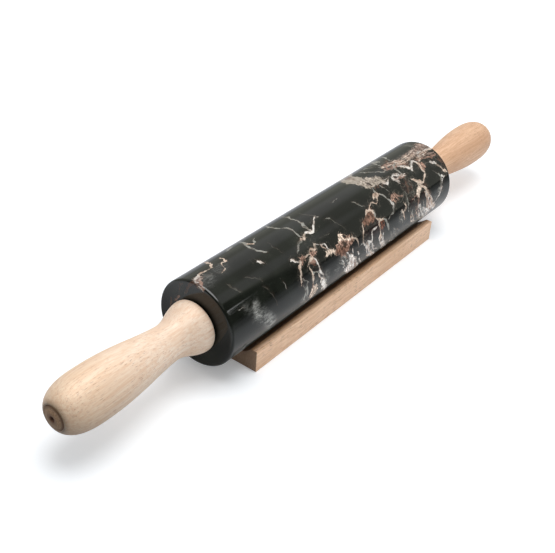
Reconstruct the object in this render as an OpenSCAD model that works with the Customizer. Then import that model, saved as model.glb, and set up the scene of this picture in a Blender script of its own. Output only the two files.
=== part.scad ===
// Marble rolling pin lying on its wooden cradle.
// X runs along the barrel, Y across it and Z up. The origin is on the table under the middle.

/* [Marble barrel] */
// Diameter of the marble barrel
barrel_d = 57; // [54:0.5:60]
// Length of the marble barrel
barrel_len = 256; // [230:1:300]
// Radius that rounds the rim of each end face
barrel_edge_r = 1.6; // [0.6:0.1:3]
// Diameter of the hole cored through the marble
core_d = 14; // [12:0.5:16]

/* [Bearings] */
// Outside diameter of the bearing sleeve pressed into each end of the marble
bearing_d = 20; // [18:0.5:22]
// Length of the bearing sleeve, flange included
bearing_len = 24; // [16:1:40]
// Diameter of the bearing flange, which lies flush with the marble
flange_d = 26; // [24:0.5:28]
// Thickness of the bearing flange
flange_t = 2; // [1.5:0.1:3]

/* [Axle rod] */
// Diameter of the rod between its two shoulders
rod_d = 8; // [8:0.5:10]
// Diameter of the threaded ends
rod_end_d = 6; // [5:0.5:6]
// Radial running clearance of the rod in the bearings
run_gap = 0.05; // [0.02:0.01:0.08]

/* [Handles] */
// Distance from the barrel's end face to the tip of the handle's nose
handle_reach = 107; // [98:1:116]
// Diameter of the flared root beside the marble
root_d = 33.6; // [30:0.2:38]
// Diameter of the neck
neck_d = 22.8; // [20:0.2:26]
// Diameter of the belly that fills the palm
belly_d = 32.7; // [28:0.1:36]
// Distance from the barrel's end face to the neck
neck_at = 24; // [20:1:30]
// Distance from the barrel's end face to the belly
belly_at = 79; // [70:1:82]
// Gap between the marble and the handle's root
root_gap = 0.6; // [0.5:0.1:0.8]

/* [End plugs] */
// Diameter of the wooden plug that closes the nut's pocket
plug_d = 15; // [14:0.5:16]
// Length of the plug
plug_len = 9; // [6:0.5:10]
// Diameter of the centre dimple in the plug
dimple_d = 3.8; // [2:0.2:6]

/* [Cradle] */
// Length of the cradle
cradle_len = 211; // [180:1:225]
// Width of the cradle
cradle_w = 58; // [56:0.5:66]
// Height of the cradle
cradle_h = 15.5; // [13:0.5:17]
// Thickness of the wood under the middle of the trough
trough_floor = 5.8; // [4:0.1:8]
// Radius of the trough
trough_r = 35.5; // [33:0.5:37]
// Chamfer along the cradle's edges
cradle_edge = 0.8; // [0.2:0.1:1.2]

/* [Hidden] */
$fn = 96;

// the barrel lies just clear of the trough
rest_gap = 0.3;
axis_z = trough_floor + rest_gap + barrel_d / 2;
end_x = barrel_len / 2;
// glue gap round a pressed or glued piece
fit_gap = 0.02;
// clearance of a hole that a rod end passes through
bolt_gap = 0.15;
// length that a cut runs past the face it opens
past = 1;
// overlap that keeps a cone's cut clean where it meets a face
skin = 0.01;

// the thrust washer sits on the rod's shoulder, partly sunk in the handle's root
shoulder_gap = 0.3;
thrust_d = 20;
thrust_t = 1;
thrust_end = shoulder_gap + thrust_t;
recess_d = thrust_d + 1;

// the root's rim, from the face to its full diameter
root_r = root_d / 2;
root_corner = 2.2;
root_at = root_gap + root_corner;
neck_r = neck_d / 2;
belly_r = belly_d / 2;
// the swell leaves the neck early, so its path is eased with a power below one
swell_power = 0.8;
// the nose is a superellipse that ends at the lip round the plug
nose_power = 2.8;
nose_lip = 0.6;
lip_chamfer = 0.4;
nose_len = handle_reach - belly_at;
nose_end_r = plug_d / 2 + nose_lip;
nose_end_a = acos(pow(nose_end_r / belly_r, nose_power / 2));
nose_end_s = belly_at + nose_len * pow(sin(nose_end_a), 2 / nose_power);

// the nut's pocket in the nose, with the washer on its floor and the plug over it
pocket_depth = 21;
seat_at = handle_reach - pocket_depth;
nut_washer_d = 13;
nut_washer_t = 1.6;
nut_flats = 10;
nut_h = 5;
nut_at = seat_at + nut_washer_t;
rod_end_at = nut_at + nut_h + 2;
rod_chamfer = 0.8;
plug_from = nose_end_s - plug_len;
plug_chamfer = 0.9;
plug_crown = 0.7;
dimple_depth = 2.6;
dimple_tip_d = dimple_d / 3;
// width of the flat ring round the dimple
dimple_rim = 1;

curve_steps = 24;
corner_steps = 6;

// eased step from 0 to 1
function ease(t) = (1 - cos(180 * t)) / 2;

// point [radius, distance] on a quarter round corner that ends at the full radius
function corner_point(r, at, c, a) = [r - c + c * sin(a), at + c - c * cos(a)];

function flare_point(t) = [root_r - (root_r - neck_r) * ease(t), root_at + (neck_at - root_at) * t];

function swell_point(t) = [
    neck_r + (belly_r - neck_r) * ease(pow(t, swell_power)),
    neck_at + (belly_at - neck_at) * t
];

function nose_point(a) = [
    belly_r * pow(cos(a), 2 / nose_power),
    belly_at + nose_len * pow(sin(a), 2 / nose_power)
];

handle_outline = concat(
    [[0, root_gap]],
    [for (i = [0 : corner_steps]) corner_point(root_r, root_gap, root_corner, 90 * i / corner_steps)],
    [for (i = [1 : curve_steps]) flare_point(i / curve_steps)],
    [for (i = [1 : curve_steps]) swell_point(i / curve_steps)],
    [for (i = [1 : curve_steps]) nose_point(nose_end_a * i / curve_steps)],
    [[0, nose_end_s]]
);

barrel_outline = concat(
    [[0, 0]],
    [for (i = [0 : corner_steps])
        corner_point(barrel_d / 2, 0, barrel_edge_r, 90 * i / corner_steps)],
    [for (i = [corner_steps : -1 : 0])
        let (p = corner_point(barrel_d / 2, 0, barrel_edge_r, 90 * i / corner_steps))
        [p[0], barrel_len - p[1]]],
    [[0, barrel_len]]
);

// stands a shape drawn along Z on the right end face of the barrel, pointing outwards
module on_right_end() {
    translate([end_x, 0, axis_z]) rotate([0, 90, 0]) children();
}

module on_left_end() {
    mirror([1, 0, 0]) on_right_end() children();
}

module ring(outer_d, inner_d, thickness) {
    difference() {
        cylinder(d = outer_d, h = thickness);
        translate([0, 0, -past]) cylinder(d = inner_d, h = thickness + 2 * past);
    }
}

module cradle_section() {
    c = cradle_edge;
    w = cradle_w / 2;
    difference() {
        polygon([[-w + c, 0], [w - c, 0], [w, c], [w, cradle_h - c], [w - c, cradle_h],
                 [-w + c, cradle_h], [-w, cradle_h - c], [-w, c]]);
        translate([0, trough_floor + trough_r]) circle(r = trough_r, $fn = 180);
    }
}

module cradle() {
    color("burlywood")
        translate([-cradle_len / 2, 0, 0])
            rotate([90, 0, 90])
                linear_extrude(height = cradle_len) cradle_section();
}

module marble_barrel() {
    color([0.10, 0.10, 0.10])
        translate([-end_x, 0, axis_z])
            rotate([0, 90, 0])
                difference() {
                    rotate_extrude($fn = 180) polygon(barrel_outline);
                    translate([0, 0, -past]) cylinder(d = core_d, h = barrel_len + 2 * past);
                    bearing_seat();
                    translate([0, 0, barrel_len]) mirror([0, 0, 1]) bearing_seat();
                }
}

// the stepped pocket for a bearing, opening at z = 0
module bearing_seat() {
    translate([0, 0, -past]) cylinder(d = bearing_d + 2 * fit_gap, h = bearing_len + past);
    translate([0, 0, -past]) cylinder(d = flange_d + 2 * fit_gap, h = flange_t + past);
}

// flanged sleeve that fills the pocket, its outer face at z = 0
module bearing() {
    color("ivory")
        difference() {
            union() {
                translate([0, 0, -bearing_len]) cylinder(d = bearing_d, h = bearing_len);
                translate([0, 0, -flange_t]) cylinder(d = flange_d, h = flange_t);
            }
            translate([0, 0, -bearing_len - past])
                cylinder(r = rod_d / 2 + run_gap, h = bearing_len + 2 * past);
        }
}

module axle_rod() {
    shoulder = end_x + shoulder_gap;
    color("silver")
        translate([0, 0, axis_z])
            rotate([0, 90, 0]) {
                translate([0, 0, -shoulder]) cylinder(d = rod_d, h = 2 * shoulder);
                rod_end(shoulder);
                mirror([0, 0, 1]) rod_end(shoulder);
            }
}

// threaded end of the rod, from inside the shoulder to its chamfered tip
module rod_end(shoulder) {
    tip = end_x + rod_end_at;
    translate([0, 0, shoulder - past]) cylinder(d = rod_end_d, h = tip - rod_chamfer - shoulder + past);
    translate([0, 0, tip - rod_chamfer])
        cylinder(d1 = rod_end_d, d2 = rod_end_d - 2 * rod_chamfer, h = rod_chamfer);
}

module thrust_washer() {
    color("whitesmoke")
        translate([0, 0, shoulder_gap]) ring(thrust_d, rod_end_d + 2 * bolt_gap, thrust_t);
}

module handle() {
    color([0.86, 0.73, 0.57])
        difference() {
            rotate_extrude() polygon(handle_outline);
            cylinder(d = rod_end_d + 2 * bolt_gap, h = handle_reach);
            cylinder(d = recess_d, h = thrust_end);
            translate([0, 0, seat_at]) cylinder(d = plug_d + 2 * fit_gap, h = handle_reach - seat_at);
            translate([0, 0, nose_end_s - lip_chamfer])
                cylinder(d1 = plug_d + 2 * fit_gap, d2 = plug_d + 2 * lip_chamfer, h = lip_chamfer + skin);
        }
}

module nut_washer() {
    color("silver")
        translate([0, 0, seat_at]) ring(nut_washer_d, rod_end_d + 2 * bolt_gap, nut_washer_t);
}

// hexagon nut with its outer corners cut back by a cone
module nut() {
    corners_d = nut_flats / cos(30);
    color("silver")
        translate([0, 0, nut_at])
            difference() {
                intersection() {
                    cylinder(d = corners_d, h = nut_h, $fn = 6);
                    cylinder(d1 = corners_d + 2 * nut_h, d2 = nut_flats, h = nut_h);
                }
                translate([0, 0, -past]) cylinder(d = rod_end_d + 2 * fit_gap, h = nut_h + 2 * past);
            }
}

// round plug with a chamfered edge, a slight crown and a centre dimple
module end_plug() {
    face = nose_end_s - plug_chamfer / 2;
    color([0.78, 0.64, 0.48])
        difference() {
            union() {
                translate([0, 0, plug_from]) cylinder(d = plug_d, h = face - plug_from);
                translate([0, 0, face])
                    cylinder(d1 = plug_d, d2 = plug_d - 2 * plug_chamfer, h = plug_chamfer);
                translate([0, 0, face + plug_chamfer])
                    cylinder(d1 = plug_d - 2 * plug_chamfer, d2 = dimple_d + 2 * dimple_rim, h = plug_crown);
            }
            translate([0, 0, face + plug_chamfer + plug_crown - dimple_depth])
                cylinder(d1 = dimple_tip_d, d2 = dimple_d, h = dimple_depth + skin);
        }
}

cradle();
marble_barrel();
on_left_end() bearing();  // left_bearing
on_right_end() bearing();  // right_bearing
axle_rod();
on_left_end() thrust_washer();  // left_thrust_washer
on_right_end() thrust_washer();  // right_thrust_washer
on_left_end() handle();  // left_handle
on_right_end() handle();  // right_handle
on_left_end() nut_washer();  // left_nut_washer
on_right_end() nut_washer();  // right_nut_washer
on_left_end() nut();  // left_nut
on_right_end() nut();  // right_nut
on_left_end() end_plug();  // left_end_plug
on_right_end() end_plug();  // right_end_plug
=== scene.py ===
"""Marble rolling pin with turned beech handles, lying in its beech cradle.

Lengths on the marble are in millimetres: x along the barrel from its middle, and girth angles in degrees,
0 at the front, 90 on top and 180 at the back.
"""

import math
from collections import namedtuple

import bmesh
import bpy
import numpy as np
from bpy.props import FloatProperty, FloatVectorProperty, IntProperty, PointerProperty
from bpy.types import Operator, Panel, PropertyGroup
from mathutils import Color, Matrix, Vector


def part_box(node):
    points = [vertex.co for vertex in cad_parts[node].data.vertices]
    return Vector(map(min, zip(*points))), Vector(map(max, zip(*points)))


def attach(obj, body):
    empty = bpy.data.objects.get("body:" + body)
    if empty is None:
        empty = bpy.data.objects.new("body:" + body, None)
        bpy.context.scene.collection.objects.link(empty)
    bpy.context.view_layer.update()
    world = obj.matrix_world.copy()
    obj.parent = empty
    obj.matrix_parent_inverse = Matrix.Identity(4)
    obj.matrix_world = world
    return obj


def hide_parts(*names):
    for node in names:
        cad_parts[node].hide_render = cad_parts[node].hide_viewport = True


bl_info = {
    "name": "Marble Rolling Pin",
    "version": (1, 0, 0),
    "blender": (4, 5, 0),
    "location": "View3D > Sidebar > Rolling Pin",
    "description": "Builds the veined barrel, the handles, the cradle and a pale studio",
    "category": "Object",
}

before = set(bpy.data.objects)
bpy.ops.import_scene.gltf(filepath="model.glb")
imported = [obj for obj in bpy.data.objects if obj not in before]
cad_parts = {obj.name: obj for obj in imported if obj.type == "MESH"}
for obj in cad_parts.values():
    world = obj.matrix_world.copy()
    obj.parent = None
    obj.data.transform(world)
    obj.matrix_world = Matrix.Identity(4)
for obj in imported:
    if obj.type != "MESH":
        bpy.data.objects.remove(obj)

MM = 0.001

# The barrel's own box gives the axle's height, the barrel's radius and its end faces
BARREL_LOW, BARREL_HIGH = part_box("marble_barrel")
AXIS_Z = (BARREL_LOW.z + BARREL_HIGH.z) / 2
BARREL_R = (BARREL_HIGH.z - BARREL_LOW.z) / 2
END_X = BARREL_HIGH.x
AXIS_POINT = Vector((0, 0, AXIS_Z))

# Room between a turned piece and what sits in it
FIT = 0.02 * MM

# Colours of the veins, patches, clouds and hairlines, as they look on the stone
VEIN_TONES = {
    "bright": (1.0, 0.975, 0.95),
    "white": (0.92, 0.90, 0.87),
    "cream": (0.89, 0.815, 0.745),
    "pink": (0.62, 0.50, 0.44),
    "umber": (0.47, 0.35, 0.29),
    "rust": (0.42, 0.27, 0.21),
    "taupe": (0.56, 0.49, 0.45),
    "ash": (0.65, 0.61, 0.56),
    "grey": (0.66, 0.66, 0.63),
    "dim": (0.40, 0.40, 0.37),
    "mauve": (0.15, 0.11, 0.10),
    "brown": (0.27, 0.20, 0.165),
    "haze": (0.66, 0.66, 0.64),
    "hair": (0.56, 0.52, 0.47),
}

# How strongly the veins of the faint tones cover the stone
VEIN_STRENGTH = {"dim": 0.5, "grey": 0.8, "umber": 0.5}

# The left handle's tints at its root and at its nose: partly the wood's own tone, and partly painted
# light, paler at the root where more light falls on it
LEFT_TONE_AND_PAINTED_LIGHT = ((1.04, 1.07, 1.14), (0.97, 0.95, 0.93))

STEEL = (0.74, 0.74, 0.73)
STEEL_DULL = (0.55, 0.55, 0.54)

# Painted reflection: how pale the cradle looks in the polish, in place of its wood colour
CRADLE_PAINTED_REFLECTION = (0.90, 0.89, 0.87)

# A vein has a tone, its widths in millimetres from end to end, and its route
Vein = namedtuple("Vein", "tone widths route")
# A patch has a tone, the share of it that is solid, and its outline
Patch = namedtuple("Patch", "tone solid outline")
# A bundle has its thin veins' tones and number, their spread in millimetres and their common route
Bundle = namedtuple("Bundle", "tones count spread route")
# A cloud has a strength, a width in millimetres and a route
Cloud = namedtuple("Cloud", "strength width route")

# Veins at the left end, where the stone is almost plain
LEFT_VEINS = (
    Vein("taupe", (1.4, 1.9, 1.6), ((-129, 86), (-125, 93), (-121, 99))),
    Vein("white", (0.7, 1.4, 1.3), ((-127.5, 90), (-124, 98), (-120, 102.5))),
    Vein("cream", (1.6, 1.8, 1.1, 1.3, 1.9, 2.3, 1.6), ((-122, 98.5), (-118, 102), (-114, 99),
         (-110, 100), (-107.5, 104), (-105.5, 110), (-104, 117), (-102, 130))),
    Vein("umber", (1.4, 2.6, 1.2), ((-128, 95), (-131, 100), (-134.5, 107), (-137, 115))),
    Vein("umber", (0.8, 1.6, 0.8), ((-130, 110), (-132, 120), (-135, 128))),
    Vein("pink", (0.8, 2.0, 1.0), ((-137, 130), (-138.2, 140), (-138, 150))),
    Vein("umber", (0.8, 1.6, 0.8), ((-135.5, 152), (-136.5, 162), (-136, 172))),
    Vein("pink", (1.6, 1.0), ((-130, 78), (-128, 82), (-126, 86), (-123, 92))),
    Vein("rust", (0.9, 0.6), ((-127, 82), (-125, 88), (-121, 94))),
    Vein("dim", (0.8, 0.6), ((-121, 90), (-118, 91), (-113, 88), (-109, 84))),
    Vein("cream", (0.5, 0.9, 1.0, 0.7), ((-109, 83.5), (-106, 85.5), (-104.5, 89), (-103, 94), (-101, 97),
         (-99.5, 95), (-98, 98), (-97.4, 103), (-97, 109))),
    Vein("dim", (0.9, 0.5), ((-113.5, 66), (-112.5, 59), (-110, 50))),
    Vein("dim", (0.6,), ((-100, 62), (-96, 56), (-92, 48))),
    Vein("dim", (0.6,), ((-93, 41), (-90, 33), (-86, 10))),
    Vein("grey", (0.8,), ((-118, 34.5), (-113, 32))),
    Vein("white", (0.6, 2.4, 0.8), ((-85.5, 72), (-84, 70), (-82.8, 67.5), (-81.5, 63))),
    Vein("dim", (0.5, 0.9), ((-84, 76), (-82, 72))),
    Vein("grey", (0.7, 1.3, 1.3, 0.8), ((-72.5, 73), (-75, 79), (-77, 86), (-77.3, 92), (-77, 100),
         (-75, 105), (-73, 112), (-71.5, 122), (-70, 132))),
    Vein("cream", (0.7, 1.3), ((-75.5, 105), (-73.8, 100), (-72.3, 95.5))),
    Vein("grey", (1.2, 0.8), ((-70.5, 97), (-68.6, 99), (-66.8, 104.5))),
    Vein("grey", (1.0, 2.2, 1.2), ((-87, 115), (-83, 118), (-79, 121))),
    Vein("grey", (0.6,), ((-77, 33), (-75.8, 22))),
    Vein("dim", (0.6,), ((-66, 85), (-65, 63))),
)

# Veins of the first nest, left of the middle
NEST_VEINS = (
    Vein("grey", (1.0, 1.2, 1.2, 1.0), ((-43.5, 66), (-43.4, 75), (-43.5, 85), (-45, 90), (-47.8, 97),
         (-49, 107), (-47.5, 116), (-45, 124), (-42, 134))),
    Vein("grey", (1.5, 1.2, 0.9), ((-33, 66), (-32.8, 75), (-32.4, 88), (-32, 99), (-30.8, 107),
         (-29.5, 118), (-27.5, 130))),
    Vein("grey", (0.4, 0.7, 0.8), ((-54.5, 50), (-53, 54), (-51, 58), (-48, 61.5), (-45, 63))),
    Vein("cream", (0.8, 1.3, 1.0), ((-46.5, 62), (-44.5, 64), (-43, 62), (-41, 66), (-38.5, 68.2))),
    Vein("white", (0.8, 1.2, 2.3, 2.0, 1.4, 0.9), ((-39, 68), (-36.2, 67), (-34, 64.5), (-31, 65),
         (-28, 69), (-24, 73), (-21, 79), (-20, 81))),
    Vein("grey", (0.5, 1.3, 0.5), ((-19.5, 80), (-18, 77), (-16.3, 75))),
    Vein("grey", (0.5, 1.2), ((-15, 70), (-13, 68.5), (-11.5, 67))),
    Vein("dim", (0.7,), ((-20, 82), (-22, 92), (-23.5, 102))),
    Vein("white", (1.0, 2.0, 1.0), ((-63, 48.5), (-61.5, 48.5), (-60, 45), (-58.8, 41.5))),
    Vein("cream", (1.6, 2.4, 1.8, 1.0), ((-57, 41), (-59, 37), (-60, 33), (-60.5, 28), (-61.3, 22),
         (-62, 15))),
    Vein("grey", (1.0, 0.6), ((-59.5, 22), (-58, 16), (-55.5, 12))),
    Vein("grey", (1.3,), ((-60, 8), (-58.5, 3))),
    Vein("cream", (0.9, 1.1, 0.8), ((-52, 44), (-49.5, 44), (-47, 42), (-45.5, 41))),
    Vein("cream", (0.5, 0.7), ((-47, 43), (-45, 46), (-41.5, 45))),
    Vein("cream", (0.8, 0.6), ((-42.5, 42), (-40, 45), (-38, 48.5), (-36.8, 50))),
    Vein("cream", (0.7, 1.2, 1.4), ((-52.5, 31), (-50, 32.5), (-47.5, 35), (-44.6, 35))),
    Vein("white", (1.2, 1.2, 1.0, 1.3, 1.9, 2.2), ((-44.5, 34.5), (-43.4, 30), (-42.8, 25), (-41.8, 17),
         (-40.5, 10), (-38.5, 3), (-36.6, -5), (-35, -13), (-33, -22), (-31.5, -30))),
    Vein("cream", (0.8, 0.8), ((-51.5, 27), (-50.5, 22), (-49.6, 14), (-50, 5), (-49.3, -4))),
    Vein("grey", (0.8,), ((-50, 21), (-46.5, 17), (-43.5, 14))),
    Vein("rust", (1.4,), ((-48.5, 30), (-46.5, 27))),
    Vein("cream", (1.1, 1.4), ((-49.3, 0), (-48, -6), (-50, -18))),
    Vein("white", (0.7, 0.9, 1.4), ((-36.5, 49), (-34.5, 46), (-31.8, 44), (-30, 41), (-29.4, 36))),
    Vein("cream", (0.8, 0.7, 1.0), ((-34.6, 45.5), (-33.4, 39), (-31.5, 35))),
    Vein("pink", (0.7,), ((-9, 26), (-2, 26))),
    Vein("dim", (0.4, 0.7, 0.4), ((-12.5, 70), (-11, 59), (-6.3, 42))),
    Vein("dim", (0.4, 0.7), ((-31.3, 54), (-26, 51), (-20.5, 50.4))),
    Vein("dim", (0.5,), ((-38.5, 52), (-38.3, 61))),
    Vein("white", (1.0, 2.0, 1.2), ((-12.5, 14), (-10, 9), (-8.5, 2), (-8, -8))),
)

# Veins from the middle to the pale wedge
MIDDLE_VEINS = (
    Vein("cream", (0.8, 0.9), ((-3, 26.5), (0, 24.5), (1.3, 19), (2, 12))),
    Vein("white", (1.3,), ((0.5, 6), (2, 0))),
    Vein("grey", (0.7,), ((3, 12), (7.5, 12))),
    Vein("cream", (0.8, 1.1), ((7.5, 13), (8.5, 20), (9.4, 27), (10.2, 33), (12, 37.5))),
    Vein("cream", (1.4, 0.9, 0.8), ((23, 47), (25, 50), (27.5, 52.5), (29.8, 53.6), (31.6, 51.3),
         (33.6, 47.8))),
    Vein("cream", (0.8, 1.2), ((33.6, 47.8), (35.6, 49), (37.6, 53.5), (39.4, 57), (42, 58))),
    Vein("cream", (0.9, 1.2), ((34, 54.5), (36, 59), (38.6, 61.8), (41.3, 62), (42.4, 57.5))),
    Vein("grey", (0.6, 0.9), ((41, 62), (40.5, 66), (41.5, 71))),
    Vein("grey", (0.6, 1.2, 1.0, 0.8), ((43, 58), (44.6, 53), (46.2, 47), (47.8, 42.5))),
    Vein("white", (0.8, 1.2, 0.7), ((47.8, 42.5), (49, 38), (49.6, 33), (48.6, 29))),
    Vein("pink", (0.9, 0.7), ((49.5, 41), (52.5, 46), (56, 45), (60, 41), (64, 37.5))),
    Vein("grey", (0.8, 0.5), ((49, 31), (47.5, 26), (44, 22), (40, 21))),
    Vein("grey", (1.3, 0.9), ((28.3, 43), (27.6, 38), (25.6, 33))),
    Vein("cream", (1.0, 2.4, 1.6), ((18, 43), (21, 45.5), (23.5, 46.5), (25.5, 44), (27, 41))),
    Vein("taupe", (2.0, 3.6, 3.0, 1.0), ((53, 134), (47, 122), (43.5, 112), (41, 98))),
    Vein("cream", (1.0, 1.4), ((25.5, 33), (28.5, 28.5), (31.5, 26.3), (34.5, 26))),
    Vein("grey", (0.9, 1.4), ((34.5, 26), (37, 20), (38.8, 14), (39.4, 4))),
    Vein("cream", (1.0, 1.4, 1.5), ((28.3, 26), (28.6, 15), (28.8, 5), (29.6, -5), (33, -12), (38, -24))),
    Vein("white", (0.6, 1.1), ((18.4, 14), (18.8, 18.5), (21.5, 20.8), (25, 20))),
    Vein("white", (1.1, 1.5), ((18.4, 14), (18.2, 6), (19, -2), (22, -8))),
    Vein("white", (0.8, 1.2), ((8, 12), (9.5, 6), (12, 2), (14, -5))),
    Vein("white", (0.9, 1.8), ((12, 7), (14, 8.5), (16.5, 6))),
    Vein("cream", (1.5, 2.0), ((14, -4), (19, -12), (24, -22), (29, -33))),
    Vein("white", (1.4, 1.8), ((27.5, -2), (31, -7), (35, -14), (41, -28))),
    Vein("white", (1.4, 1.2), ((54, 70), (56, 66.5), (57.5, 64), (60, 66), (62.5, 67), (64, 69.5))),
    Vein("grey", (0.7,), ((55, 114), (56.5, 101), (60, 93))),
    Vein("grey", (0.9,), ((3, 86), (10, 86.8))),
    Vein("grey", (1.2, 0.8), ((16, 69), (18.5, 64), (20, 58), (22.5, 53.5))),
    Vein("grey", (0.7,), ((49.5, 67), (51.3, 59), (52.3, 53))),
    Vein("grey", (0.5, 0.8, 0.5), ((53.4, 118), (59, 114), (64.7, 109), (69, 99), (71, 92))),
    Vein("grey", (0.4, 0.7, 0.4), ((60, 122), (66, 118), (72, 108))),
    Vein("dim", (0.5, 0.7), ((51.6, 37.3), (58.2, 30.5), (64.1, 34.5))),
)

# Veins of the dense right end
RIGHT_VEINS = (
    Vein("white", (1.4, 3.0, 1.6), ((65, 68), (65.8, 65), (67.2, 61), (68.2, 56.5))),
    Vein("pink", (0.8,), ((67.5, 62), (71, 61.5), (74, 59.5), (79, 60))),
    Vein("grey", (1.1, 1.0), ((78.6, 59.5), (77.4, 66), (77.2, 76), (77.8, 81.5), (81, 84), (85, 86.5))),
    Vein("pink", (0.7, 1.1, 1.0), ((71, 84), (73.5, 87), (75.5, 91.5), (77.3, 93.5), (80, 89), (84, 87))),
    Vein("grey", (0.8,), ((59, 94), (62.5, 87), (66, 83), (71, 84))),
    Vein("grey", (1.1, 1.4), ((72, 94), (73, 104), (75.5, 112), (79, 120), (84, 131))),
    Vein("grey", (0.9, 1.2), ((84.5, 92), (86.8, 103), (89, 111), (92, 122), (96, 133))),
    Vein("dim", (2.2, 3.4), ((116, 91), (117.5, 101), (117.5, 112), (119, 126))),
    Vein("white", (1.2, 2.2, 1.2), ((81.5, 79), (84.5, 74), (88, 68), (90.3, 63.5))),
    Vein("white", (1.1, 2.3, 2.2), ((89.8, 60), (91.5, 65), (94.5, 70), (97, 72), (100.5, 69.5))),
    Vein("cream", (1.8, 1.5, 2.0, 1.8), ((100, 69), (99.6, 62), (98.8, 56), (99, 48), (97.3, 42.5),
         (93.5, 38.2), (89.5, 38.5), (86.5, 41), (84.5, 45.5), (82.6, 51))),
    Vein("cream", (0.7, 1.0), ((104, 66), (108, 72), (113, 76), (119, 79))),
    Vein("pink", (1.0, 1.4), ((102, 70), (109, 67.5), (116, 63), (124, 62))),
    Vein("dim", (0.7, 0.8), ((106, 57), (109, 58.5), (112, 57.5))),
    Vein("white", (1.0, 2.3, 1.0), ((112, 58), (114.5, 55), (117.5, 50.5))),
    Vein("cream", (0.8, 1.6, 2.0, 0.8), ((116.5, 48), (119, 43), (121.5, 36.5), (125.5, 29))),
    Vein("grey", (0.6, 1.0, 1.2), ((109.5, 43), (112.5, 36.5), (115.7, 29.5))),
    Vein("white", (1.0, 0.6), ((115.7, 29.5), (119, 27.5), (121, 27))),
    Vein("grey", (1.0, 1.4), ((116, 29), (114.6, 20), (112, 14), (108.5, 9))),
    Vein("cream", (1.4, 1.8), ((89, 34), (92, 28), (94, 20), (94, 10), (92.5, 0))),
    Vein("cream", (1.2, 2.0), ((94, 17), (97, 8), (100, 0), (103.5, -8), (108, -18))),
    Vein("pink", (0.7,), ((80, 25.5), (76, 25.5), (72, 24.5))),
    Vein("pink", (1.2, 0.9), ((81, 21), (79.5, 12), (77, 4), (74, -4), (76, -12))),
    Vein("cream", (0.9,), ((62, 27), (64, 23), (62, 18), (60, 15.5))),
    Vein("dim", (0.8,), ((63, 33), (65.5, 40), (68.5, 47), (74, 48), (79, 41))),
    Vein("dim", (0.6,), ((66, 37), (72, 33), (78, 36))),
    Vein("dim", (0.5, 0.7), ((79.2, 56), (82, 49), (84.8, 43.3))),
    Vein("white", (1.4, 2.2, 2.0), ((80, 12), (84, 0), (88, -10), (92, -20), (97, -30))),
)

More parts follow.
